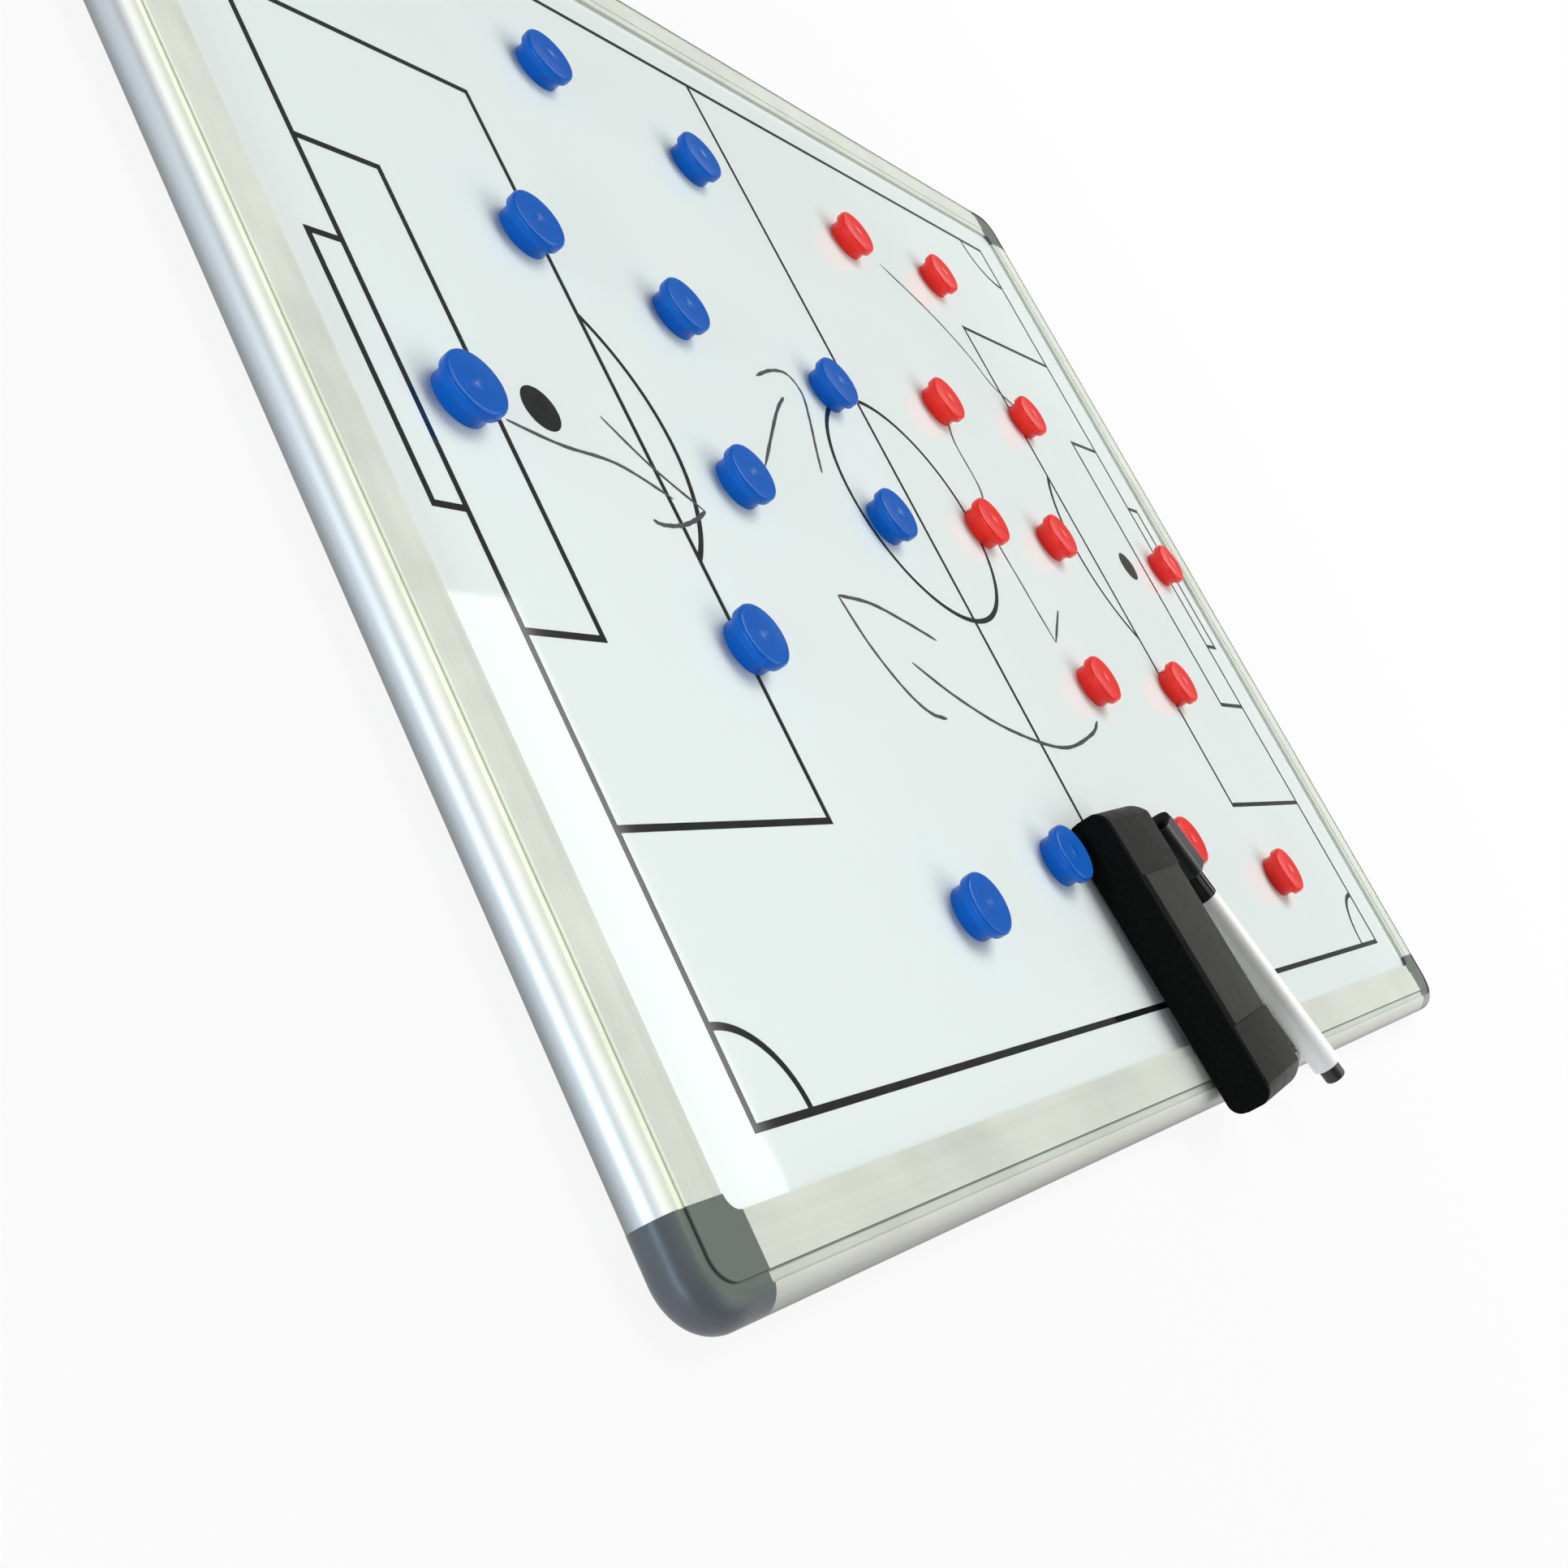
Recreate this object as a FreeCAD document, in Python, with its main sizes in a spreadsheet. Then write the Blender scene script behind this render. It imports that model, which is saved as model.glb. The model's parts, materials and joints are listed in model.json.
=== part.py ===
import FreeCAD, Part
import Sketcher
import math
import os
import re

# Driving dimensions: millimetres, with angles in degrees and counts as such.
SIZES = {
    # Board, and the profile that its four rails share
    "board_width": 600,
    "board_height": 450,
    "rail_width": 20,
    "rail_depth": 13.2,
    "front_lip": 1.6,
    "back_lip": 1.2,
    "step_width": 3.4,
    "step_depth": 0.25,
    "groove_width": 2.6,
    "groove_depth": 0.6,
    "groove_reach": 1.6,
    "rail_wall": 1.3,
    "chamber_reach": 2,
    # Layered panel
    "panel_cover": 4,
    "panel_play": 0.3,
    "sheet_thickness": 0.4,
    "backing_thickness": 0.4,
    # Corner caps
    "corner_ledge": 4,
    "corner_radius": 14,
    "edge_land": 0.2,
    "prong_length": 22,
    "prong_play": 0.2,
    "hole_diameter": 6,
    "hole_depth": 9,
    "hole_inset": 11,
    # Counters
    "counter_diameter": 19.6,
    "counter_height": 7.4,
    "crown_thickness": 3.4,
    "crown_overhang": 1.3,
    "crown_top_round": 0.7,
    "crown_ledge": 0.3,
    "stem_wall": 1.6,
    "disc_thickness": 3,
    "disc_play": 0.1,
    # Eraser
    "eraser_length": 103.8,
    "eraser_depth": 41.2,
    "eraser_height": 15,
    "eraser_end_round": 4.8,
    "eraser_back_round": 6.5,
    "eraser_wall": 2,
    "felt_reach": 2,
    "felt_inset": 0.3,
    "grip_start": 25,
    "grip_length": 54,
    "grip_inset": 3.6,
    "grip_recess": 0.5,
    "bar_length": 28,
    "bar_width": 12,
    "bar_height": 3,
    "bar_gap": 12,
    "eraser_overhang": 6.5,
    "eraser_yaw_angle": 4.5,
    "rest_gap": 0.05,
    # Marker pen
    "barrel_length": 75,
    "barrel_diameter": 10.2,
    "barrel_wall": 1.4,
    "plug_collar": 6,
    "stub_length": 6,
    "stub_diameter": 7.6,
    "stub_round": 0.8,
    "holder_collar": 8,
    "nose_length": 15,
    "nose_diameter": 6.6,
    "nose_tip_diameter": 4.4,
    "nose_taper": 9,
    "nib_diameter": 2.8,
    "nib_reach": 4.5,
    "fit_play": 0.05,
    "reservoir_play": 0.4,
    "reservoir_gap": 0.3,
    "pen_overhang": 9,
    "pen_rail_gap": 0.3,
    "pen_yaw_angle": 24.5,
    # Cap of the pen
    "block_length": 20.6,
    "block_width": 12.4,
    "block_round": 3,
    "block_end_round": 0.5,
    "sleeve_length": 10,
    "sleeve_wall": 0.8,
    "mouth_gap": 0.2,
    "nose_play": 0.6,
    "nib_room": 1.5,
    "rib_count": 14,
    "rib_width": 1.1,
    "rib_height": 0.4,
    "pad_thickness": 2.5,
    "pad_inset": 0.6,
    "cap_magnet_diameter": 7,
    "cap_magnet_thickness": 2.2,
    "cap_magnet_inset": 7.5,
    # How far every cutting shape runs past the solid that it cuts
    "overrun": 2,
}

# Places as shares of half the writing area: of its width, then of its height.
BLUE_SHARES = [
    (-0.620, 0.322), (-0.389, 0.265), (-0.861, -0.022), (-0.085, 0.217), (-0.440, -0.049), (-0.120, -0.054),
    (-0.588, -0.335), (-0.410, -0.738), (-0.139, -0.675), (-0.411, 0.732), (-0.136, 0.673),
]
RED_SHARES = [
    (0.559, 0.698), (0.268, 0.285), (0.603, 0.340), (0.179, -0.010), (0.425, 0.003), (0.890, 0.012),
    (0.271, -0.337), (0.601, -0.320), (0.596, -0.752), (0.261, -0.671), (0.271, 0.683),
]
# Left lower corner of the eraser and far end of the pen's cap, across the writing area.
ERASER_SHARE = -0.048
PEN_SHARE = 0.1344

V = FreeCAD.Vector
UP = V(0, 0, 1)
ACROSS = V(1, 0, 0)
QUARTER_TURN = 90

doc = FreeCAD.newDocument("tactics_board")
sheet = doc.addObject("Spreadsheet::Sheet", "Sizes")
for row, (size, value) in enumerate(SIZES.items(), start=1):
    sheet.set(f"A{row}", size)
    sheet.set(f"B{row}", str(value))
    sheet.setAlias(f"B{row}", size)
doc.recompute()

# Sizes that several pieces share, worked out from the cells.
SURFACE = "(rail_depth - front_lip)"
RAIL_ROUND = "(rail_depth / 2)"
GROOVE_OUTER = "(rail_depth / 2 - groove_reach)"
GROOVE_INNER = "(rail_depth / 2 - groove_reach + groove_width)"
CHAMBER_OUTER = "(rail_depth / 2 - chamber_reach)"
CHAMBER_INNER = "(rail_width - panel_cover - panel_play - rail_wall)"
CHAMBER_TOP = "(rail_depth - groove_depth - rail_wall)"
PANEL_SEAT = "(rail_width - panel_cover - panel_play)"
CORNER_SIZE = "(rail_width + corner_ledge)"
STEM_RADIUS = "(counter_diameter / 2 - crown_overhang)"
DISC_RADIUS = "(counter_diameter / 2 - crown_overhang - stem_wall)"
UNDER_ROUND = "(crown_overhang - crown_ledge)"
GRIP_FRONT = "(felt_reach + grip_inset)"
GRIP_END = "(grip_start + grip_length)"
HOLLOW_LOW = "(eraser_wall + grip_recess)"
BLOCK_HEIGHT = "(barrel_diameter + 2 * (front_lip + pen_rail_gap))"
SLEEVE_RADIUS = "(nose_diameter / 2 + nose_play + sleeve_wall)"
BORE_RADIUS = "(barrel_diameter / 2 - barrel_wall)"
# Stations along the pen, from the far end of the cap's felt pad to the plug.
BLOCK_END = "(pad_thickness + block_length)"
BARREL_START = "(pad_thickness + block_length + sleeve_length)"
BARREL_END = "(pad_thickness + block_length + sleeve_length + barrel_length)"

nodes = []


def bound(text):
    """Write each size in an expression as a cell of the sheet."""
    return re.sub(r"[a-z]+(_[a-z]+)*", lambda word: f"Sizes.{word[0]}" if word[0] in SIZES else word[0], text)


def number(text):
    return float(sheet.evalExpression(text))


def node(item, label):
    """Count an object as a sub-part, under the name of its file."""
    item.Label = label
    nodes.append(item)
    return item


def turn(axis, angle):
    return FreeCAD.Rotation(axis, angle)


def place(item, x, y, z, rotation=FreeCAD.Rotation()):
    item.Placement = FreeCAD.Placement(V(0, 0, 0), rotation)
    for axis, text in zip("xyz", (x, y, z)):
        item.setExpression(f"Placement.Base.{axis}", bound(text))


def new_drawing(body, name, role, lift):
    drawing = body.newObject("Sketcher::SketchObject", name)
    plane = next(feature for feature in body.Origin.OriginFeatures if feature.Role == role)
    drawing.AttachmentSupport = [(plane, "")]
    drawing.MapMode = "FlatFace"
    drawing.setExpression("AttachmentOffset.Base.z", bound(lift))
    return drawing


def fix(drawing, curve, end, kind, text):
    """Hold one coordinate of a point at an expression, or on the axis where it is zero."""
    if text == "0":
        axis = -2 if kind == "DistanceX" else -1
        drawing.addConstraint(Sketcher.Constraint("PointOnObject", curve, end, axis))
        return
    row = drawing.addConstraint(Sketcher.Constraint(kind, curve, end, number(text)))
    drawing.setExpression(f"Constraints[{row}]", bound(text))


def outline(body, name, role, path, lift="0"):
    """Draw a closed path: corners (x, y), and arcs (centre x, centre y, turn) after the corner they leave."""
    drawing = new_drawing(body, name, role, lift)
    runs = []
    for entry in path:
        if len(entry) == 2:
            runs.append([entry, None])
        else:
            runs[-1][1] = entry
    ends = []
    for (start, bend), (finish, _) in zip(runs, runs[1:] + runs[:1]):
        first, last = (V(number(x), number(y), 0) for x, y in (start, finish))
        if bend is None:
            drawing.addGeometry(Part.LineSegment(first, last))
            ends.append((1, 2))
            continue
        centre = V(number(bend[0]), number(bend[1]), 0)
        left = bend[2] == "left"
        ends.append((1, 2) if left else (2, 1))
        rays = [first - centre, last - centre] if left else [last - centre, first - centre]
        angles = [math.atan2(ray.y, ray.x) for ray in rays]
        drawing.addGeometry(Part.ArcOfCircle(Part.Circle(centre, UP, rays[0].Length), *angles))
    for curve, (corner, bend) in enumerate(runs):
        following = (curve + 1) % len(runs)
        joint = Sketcher.Constraint("Coincident", curve, ends[curve][1], following, ends[following][0])
        drawing.addConstraint(joint)
        fix(drawing, curve, ends[curve][0], "DistanceX", corner[0])
        fix(drawing, curve, ends[curve][0], "DistanceY", corner[1])
        if bend:
            fix(drawing, curve, 3, "DistanceX", bend[0])
    return drawing


def circle(body, name, role, x, y, radius, lift="0"):
    drawing = new_drawing(body, name, role, lift)
    drawing.addGeometry(Part.Circle(V(number(x), number(y), 0), UP, number(radius)))
    fix(drawing, 0, 3, "DistanceX", x)
    fix(drawing, 0, 3, "DistanceY", y)
    row = drawing.addConstraint(Sketcher.Constraint("Radius", 0, number(radius)))
    drawing.setExpression(f"Constraints[{row}]", bound(radius))
    return drawing


def rectangle(left, low, right, high):
    return [(left, low), (right, low), (right, high), (left, high)]


def pad(body, drawing, length, turned=False):
    feature = body.newObject("PartDesign::Pad", drawing.Name + "_pad")
    feature.Profile = drawing
    feature.setExpression("Length", bound(length))
    feature.Reversed = turned
    return feature


def pocket(body, drawing, length, turned=False, through=False):
    """Cut a drawing out of the body and make sure that it removed something."""
    doc.recompute()
    before = body.Shape.Volume
    feature = body.newObject("PartDesign::Pocket", drawing.Name + "_pocket")
    feature.Profile = drawing
    feature.setExpression("Length", bound(length))
    feature.Reversed = turned
    if through:
        feature.SideType = "Symmetric"
    doc.recompute()
    if body.Shape.Volume >= before:
        raise ValueError(f"{drawing.Name} cuts nothing")
    return feature


def fillet(body, radius, wanted):
    """Round every edge of the body that passes a test."""
    doc.recompute()
    base = body.Tip
    edges = [f"Edge{order}" for order, edge in enumerate(base.Shape.Edges, start=1) if wanted(edge)]
    feature = body.newObject("PartDesign::Fillet", body.Name + "_fillet")
    feature.Base = (base, edges)
    feature.setExpression("Radius", bound(radius))
    return feature


def revolve(body, drawing):
    feature = body.newObject("PartDesign::Revolution", drawing.Name + "_turned")
    feature.Profile = drawing
    feature.ReferenceAxis = (drawing, ["V_Axis"])
    return feature


def box(name, length, width, height):
    item = doc.addObject("Part::Box", name)
    for side, text in zip(("Length", "Width", "Height"), (length, width, height)):
        item.setExpression(side, bound(text))
    return item


def cylinder(name, radius, height):
    item = doc.addObject("Part::Cylinder", name)
    item.setExpression("Radius", bound(radius))
    item.setExpression("Height", bound(height))
    return item


def panel_layer(name, low, thickness):
    """One sheet of the panel, its edges held under the lips of the rails."""
    width = "(board_width - 2 * (rail_width - panel_cover))"
    height = "(board_height - 2 * (rail_width - panel_cover))"
    layer = node(box(name, width, height, thickness), name)
    place(layer, f"-{width} / 2", f"-{height} / 2", low)


def rail(name, length, x, y, angle):
    """A frame rail, drawn from its outer edge inwards and extruded along its length."""
    body = node(doc.addObject("PartDesign::Body", name), name)
    groove_side = f"{RAIL_ROUND} + sqrt({RAIL_ROUND}^2 - groove_reach^2)"
    section = outline(body, name + "_section", "YZ_Plane", [
        (RAIL_ROUND, "0"),
        ("rail_width", "0"),
        ("rail_width", "back_lip"),
        (PANEL_SEAT, "back_lip"),
        (PANEL_SEAT, SURFACE),
        ("rail_width", SURFACE),
        ("rail_width", "rail_depth - step_depth"),
        ("rail_width - step_width", "rail_depth - step_depth"),
        ("rail_width - step_width", "rail_depth"),
        (GROOVE_INNER, "rail_depth"),
        (GROOVE_INNER, "rail_depth - groove_depth"),
        (GROOVE_OUTER, "rail_depth - groove_depth"),
        (GROOVE_OUTER, groove_side),
        (RAIL_ROUND, RAIL_ROUND, "left"),
    ])
    pad(body, section, length).SideType = "Symmetric"
    chamber = rectangle(CHAMBER_OUTER, "rail_wall", CHAMBER_INNER, CHAMBER_TOP)
    pocket(body, outline(body, name + "_chamber", "YZ_Plane", chamber), f"{length} + overrun", through=True)
    place(body, x, y, "0", turn(UP, angle))


def corner_cap(name, x, y, angle):
    """A corner cap, drawn from the outer corner inwards along both rails."""
    body = node(doc.addObject("PartDesign::Body", name), name)
    plan = outline(body, name + "_plan", "XY_Plane", [
        ("corner_radius", "0"),
        (CORNER_SIZE, "0"),
        (CORNER_SIZE, "rail_width"),
        (CORNER_SIZE, CORNER_SIZE, "right"),
        ("rail_width", CORNER_SIZE),
        ("0", CORNER_SIZE),
        ("0", "corner_radius"),
        ("corner_radius", "corner_radius", "left"),
    ])
    pad(body, plan, "rail_depth")
    fillet(body, "rail_depth / 2 - edge_land", on_outer_edge)
    groove = outline(body, name + "_groove", "XY_Plane", [
        (f"{CORNER_SIZE} + overrun", GROOVE_OUTER),
        (f"{CORNER_SIZE} + overrun", GROOVE_INNER),
        ("corner_radius", GROOVE_INNER),
        ("corner_radius", "corner_radius", "right"),
        (GROOVE_INNER, "corner_radius"),
        (GROOVE_INNER, f"{CORNER_SIZE} + overrun"),
        (GROOVE_OUTER, f"{CORNER_SIZE} + overrun"),
        (GROOVE_OUTER, "corner_radius"),
        ("corner_radius", "corner_radius", "left"),
        ("corner_radius", GROOVE_OUTER),
    ], lift="rail_depth")
    pocket(body, groove, "groove_depth")
    seat = rectangle(PANEL_SEAT, PANEL_SEAT, f"{CORNER_SIZE} + overrun", f"{CORNER_SIZE} + overrun")
    pocket(body, outline(body, name + "_seat", "XY_Plane", seat, lift=SURFACE), f"{SURFACE} - back_lip")
    hole = circle(body, name + "_hole", "XY_Plane", "hole_inset", "hole_inset", "hole_diameter / 2")
    pocket(body, hole, "hole_depth", turned=True)
    prong = rectangle(f"{CHAMBER_OUTER} + prong_play", "rail_wall + prong_play",
                      f"{CHAMBER_INNER} - prong_play", f"{CHAMBER_TOP} - prong_play")
    pad(body, outline(body, name + "_prong_x", "YZ_Plane", prong, lift=CORNER_SIZE), "prong_length")
    prong_y = outline(body, name + "_prong_y", "XZ_Plane", prong, lift=f"-{CORNER_SIZE}")
    pad(body, prong_y, "prong_length", turned=True)
    place(body, x, y, "0", turn(UP, angle))


def on_outer_edge(edge):
    """Whether a level edge of a cap's plan runs along the outside of the frame, round its corner included."""
    middle = edge.valueAt((edge.FirstParameter + edge.LastParameter) / 2)
    radius = number("corner_radius")
    near = number("edge_land")
    in_bend = middle.x < radius and middle.y < radius
    from_centre = math.hypot(middle.x - radius, middle.y - radius)
    outside = min(middle.x, middle.y) < near or (in_bend and from_centre > radius - near)
    return outside and edge.BoundBox.ZLength < near


def counter_masters():
    """The turned plastic shell of a counter and the ferrite disc in its underside."""
    shell = doc.addObject("PartDesign::Body", "counter_shell")
    rim = "counter_diameter / 2"
    under = "counter_height - crown_thickness"
    revolve(shell, outline(shell, "counter_section", "XZ_Plane", [
        ("0", "disc_thickness"),
        (f"{DISC_RADIUS} + disc_play", "disc_thickness"),
        (f"{DISC_RADIUS} + disc_play", "0"),
        (STEM_RADIUS, "0"),
        (STEM_RADIUS, under),
        (f"{rim} - {UNDER_ROUND}", under),
        (f"{rim} - {UNDER_ROUND}", f"{under} + {UNDER_ROUND}", "left"),
        (rim, f"{under} + {UNDER_ROUND}"),
        (rim, "counter_height - crown_top_round"),
        (f"{rim} - crown_top_round", "counter_height - crown_top_round", "left"),
        (f"{rim} - crown_top_round", "counter_height"),
        ("0", "counter_height"),
    ]))
    return [shell, cylinder("counter_disc", DISC_RADIUS, "disc_thickness")]


def counters(colour, shares, masters):
    for order, (across_share, up_share) in enumerate(shares, start=1):
        label = f"{colour}_counter_{order:02d}"
        counter = node(doc.addObject("Part::Compound", label), label)
        counter.Links = masters
        place(counter, f"{across_share} * (board_width / 2 - rail_width)",
              f"{up_share} * (board_height / 2 - rail_width)", SURFACE)


def round_ends(body, inset):
    """Round the four long corners of an eraser piece that stands in from the shell by an inset."""
    round_size = f"(eraser_end_round - {inset})"
    ends = [("low", "+", "-", inset), ("high", "-", "+", f"(eraser_length - {inset})")]
    sides = [("bottom", "+", "-", inset), ("top", "-", "+", f"(eraser_height - {inset})")]
    for end, inward, outward, lead in ends:
        for side, back, forth, edge in sides:
            bend = "right" if (end == "low") == (side == "bottom") else "left"
            profile = outline(body, f"{body.Name}_{end}_{side}", "YZ_Plane", [
                (f"{lead} {inward} {round_size}", edge),
                (f"{lead} {inward} {round_size}", f"{edge} {back} {round_size}", bend),
                (lead, f"{edge} {back} {round_size}"),
                (f"{lead} {outward} overrun", f"{edge} {back} {round_size}"),
                (f"{lead} {outward} overrun", f"{edge} {forth} overrun"),
                (f"{lead} {inward} {round_size}", f"{edge} {forth} overrun"),
            ])
            pocket(body, profile, "2 * (eraser_depth + overrun)", through=True)


def eraser_shell():
    """Hollow holder, open towards the felt, with a notched and slightly sunk grip across its middle."""
    shell = node(doc.addObject("PartDesign::Body", "eraser_shell"), "eraser_shell")
    pad(shell, outline(shell, "shell_plan", "XY_Plane", [
        ("felt_reach", "0"),
        ("eraser_depth - eraser_back_round", "0"),
        ("eraser_depth - eraser_back_round", "eraser_back_round", "left"),
        ("eraser_depth", "eraser_back_round"),
        ("eraser_depth", "eraser_length - eraser_back_round"),
        ("eraser_depth - eraser_back_round", "eraser_length - eraser_back_round", "left"),
        ("eraser_depth - eraser_back_round", "eraser_length"),
        ("felt_reach", "eraser_length"),
        ("felt_reach", GRIP_END),
        (GRIP_FRONT, GRIP_END),
        (GRIP_FRONT, "grip_start"),
        ("felt_reach", "grip_start"),
    ]), "eraser_height")
    round_ends(shell, "0")
    grip = rectangle("0", "grip_start", "eraser_depth + overrun", GRIP_END)
    pocket(shell, outline(shell, "grip_top", "XY_Plane", grip, lift="eraser_height"), "grip_recess")
    pocket(shell, outline(shell, "grip_bottom", "XY_Plane", grip), "grip_recess", turned=True)
    hollow = rectangle("eraser_back_round", HOLLOW_LOW,
                       "eraser_length - eraser_back_round", f"eraser_height - {HOLLOW_LOW}")
    pocket(shell, outline(shell, "hollow", "YZ_Plane", hollow, lift="felt_reach"),
           "eraser_depth - eraser_wall - felt_reach", turned=True)
    return shell


def eraser_felt():
    """Wiping pad, thicker where it fills the notch of the grip."""
    felt = node(doc.addObject("PartDesign::Body", "eraser_felt"), "eraser_felt")
    pad(felt, outline(felt, "felt_plan", "XY_Plane", [
        ("0", "felt_inset"),
        ("felt_reach", "felt_inset"),
        ("felt_reach", "grip_start"),
        (GRIP_FRONT, "grip_start"),
        (GRIP_FRONT, GRIP_END),
        ("felt_reach", GRIP_END),
        ("felt_reach", "eraser_length - felt_inset"),
        ("0", "eraser_length - felt_inset"),
    ], lift="felt_inset"), "eraser_height - 2 * felt_inset")
    round_ends(felt, "felt_inset")
    return felt


def eraser():
    """Felt, shell and two bar magnets; the eraser lies on a broad side, behind which the magnets sit."""
    lie = eraser_lie()
    for piece in (eraser_shell(), eraser_felt()):
        piece.Placement = lie
    side = number(f"({GRIP_FRONT} + eraser_depth - eraser_wall - bar_width) / 2")
    lower = number("eraser_length / 2 - bar_gap / 2 - bar_length")
    upper = number("eraser_length / 2 + bar_gap / 2")
    for label, start in (("eraser_magnet_lower", lower), ("eraser_magnet_upper", upper)):
        bar = node(box(label, "bar_width", "bar_length", "bar_height"), label)
        bar.Placement = lie * FreeCAD.Placement(V(side, start, number(HOLLOW_LOW)), FreeCAD.Rotation())


def eraser_lie():
    """Where the eraser lies: one end of a broad side on the sheet, the other on the bottom rail's lip."""
    yaw = math.radians(number("eraser_yaw_angle"))
    reach = number("eraser_depth") * math.sin(yaw)
    reach += number("eraser_length - eraser_end_round") * math.cos(yaw)
    low = number("-board_height / 2 - eraser_overhang")
    lip_edge = number("-board_height / 2 + rail_width - step_width")
    tilt = math.atan2(number("front_lip"), low + reach - lip_edge)
    height = number(f"{SURFACE} + rest_gap") + reach * math.sin(tilt)
    rotation = turn(ACROSS, -math.degrees(tilt)) * turn(UP, math.degrees(yaw))
    return FreeCAD.Placement(V(ERASER_SHARE * number("board_width / 2 - rail_width"), low, height), rotation)


def pen_lie():
    """Where the pen lies: its cap flat on the sheet, its tail out over the bottom rail."""
    yaw = number("pen_yaw_angle")
    length = number(f"{BARREL_END} + stub_length") * math.cos(math.radians(yaw))
    far_end = number("-board_height / 2 - pen_overhang") + length
    across = PEN_SHARE * number("board_width / 2 - rail_width")
    height = number(f"{SURFACE} + {BLOCK_HEIGHT} / 2")
    return FreeCAD.Placement(V(across, far_end, height), turn(UP, yaw) * turn(ACROSS, QUARTER_TURN))


def turned_piece(label, lie, path):
    """A piece of the pen that is round about its axis."""
    body = node(doc.addObject("PartDesign::Body", label), label)
    revolve(body, outline(body, label + "_section", "XZ_Plane", path))
    body.Placement = lie


def pen(lie):
    """Barrel, end plug, ink reservoir, tip holder and nib, which slide out of the cap together."""
    barrel = "barrel_diameter / 2"
    fitted = f"{BORE_RADIUS} - fit_play"
    turned_piece("pen_barrel", lie, rectangle(BORE_RADIUS, BARREL_START, barrel, BARREL_END))
    stub_end = f"{BARREL_END} + stub_length"
    turned_piece("pen_end_plug", lie, [
        ("0", f"{BARREL_END} - plug_collar"),
        (fitted, f"{BARREL_END} - plug_collar"),
        (fitted, BARREL_END),
        ("stub_diameter / 2", BARREL_END),
        ("stub_diameter / 2", f"{stub_end} - stub_round"),
        ("stub_diameter / 2 - stub_round", f"{stub_end} - stub_round", "left"),
        ("stub_diameter / 2 - stub_round", stub_end),
        ("0", stub_end),
    ])
    nib_bore = "nib_diameter / 2 + fit_play"
    turned_piece("pen_tip_holder", lie, [
        (nib_bore, f"{BARREL_START} - nose_length"),
        ("nose_tip_diameter / 2", f"{BARREL_START} - nose_length"),
        ("nose_diameter / 2", f"{BARREL_START} - nose_length + nose_taper"),
        ("nose_diameter / 2", BARREL_START),
        (fitted, BARREL_START),
        (fitted, f"{BARREL_START} + holder_collar"),
        (nib_bore, f"{BARREL_START} + holder_collar"),
    ])
    nib_tip = f"{BARREL_START} - nose_length - nib_reach"
    turned_piece("pen_nib", lie, [
        ("0", nib_tip),
        ("0", f"{nib_tip} + nib_diameter / 2", "left"),
        ("nib_diameter / 2", f"{nib_tip} + nib_diameter / 2"),
        ("nib_diameter / 2", f"{BARREL_START} + holder_collar"),
        ("0", f"{BARREL_START} + holder_collar"),
    ])
    ink_length = "barrel_length - holder_collar - plug_collar - 2 * reservoir_gap"
    ink = node(cylinder("pen_reservoir", f"{BORE_RADIUS} - reservoir_play", ink_length), "pen_reservoir")
    ink_start = V(0, 0, number(f"{BARREL_START} + holder_collar + reservoir_gap"))
    ink.Placement = lie * FreeCAD.Placement(ink_start, FreeCAD.Rotation())


def block_plan(body, label, inset, lift="0"):
    """Rounded section of the cap's block, drawn in all round by an inset."""
    side, top = f"(block_width / 2 - {inset})", f"({BLOCK_HEIGHT} / 2 - {inset})"
    inner_side, inner_top = "(block_width / 2 - block_round)", f"({BLOCK_HEIGHT} / 2 - block_round)"
    return outline(body, label, "XY_Plane", [
        (f"-{inner_side}", f"-{top}"),
        (inner_side, f"-{top}"),
        (inner_side, f"-{inner_top}", "left"),
        (side, f"-{inner_top}"),
        (side, inner_top),
        (inner_side, inner_top, "left"),
        (inner_side, top),
        (f"-{inner_side}", top),
        (f"-{inner_side}", inner_top, "left"),
        (f"-{side}", inner_top),
        (f"-{side}", f"-{inner_top}"),
        (f"-{inner_side}", f"-{inner_top}", "left"),
    ], lift=lift)


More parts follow.
